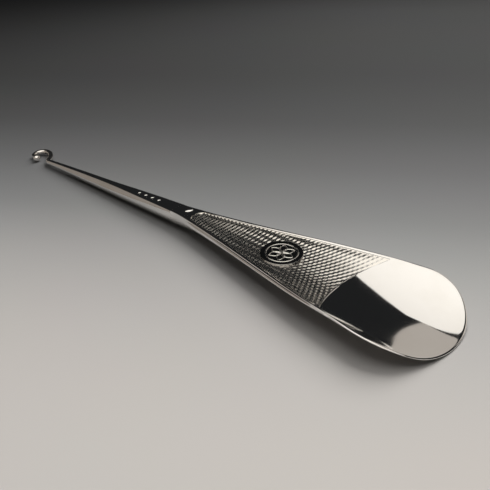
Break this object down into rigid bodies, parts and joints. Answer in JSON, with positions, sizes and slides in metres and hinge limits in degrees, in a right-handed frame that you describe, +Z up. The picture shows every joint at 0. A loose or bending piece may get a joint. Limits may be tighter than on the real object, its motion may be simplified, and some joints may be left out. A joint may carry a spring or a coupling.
{
  "type": "shoehorn with button hook",
  "caption": "Long polished metal shoehorn: dished scoop with engine-turned panel and round cartouche, tapering handle, and a button hook with ball end.",
  "frame": {"origin": "centre of the object's bounding box in plan, at the level of the surface it lies on", "axes": "+X along the object from the button hook to the scoop's tip, +Y across the blade towards the side the hook's arm stands out to, +Z up out of the hollow side"},
  "size_m": [0.2498, 0.0416, 0.0083],
  "materials": {
    "blade_silver": "mirror polished silver",
    "engine_turned_silver": "bright-cut engine turning, fine staggered grains",
    "cartouche_silver": "flat polished silver",
    "ornament_silver": "polished silver line work, let in level with the face",
    "handle_silver": "mirror polished silver with light wear",
    "hook_silver": "polished silver wire"
  },
  "bodies": {
    "root": {"horn_blade": "blade_silver", "engine_turned_panel": "engine_turned_silver", "cartouche_disc": "cartouche_silver", "cartouche_ring": "ornament_silver", "cartouche_rosette": "ornament_silver", "shank": "handle_silver", "button_hook": "hook_silver", "hook_ball": "hook_silver"}
  },
  "joints": []
}
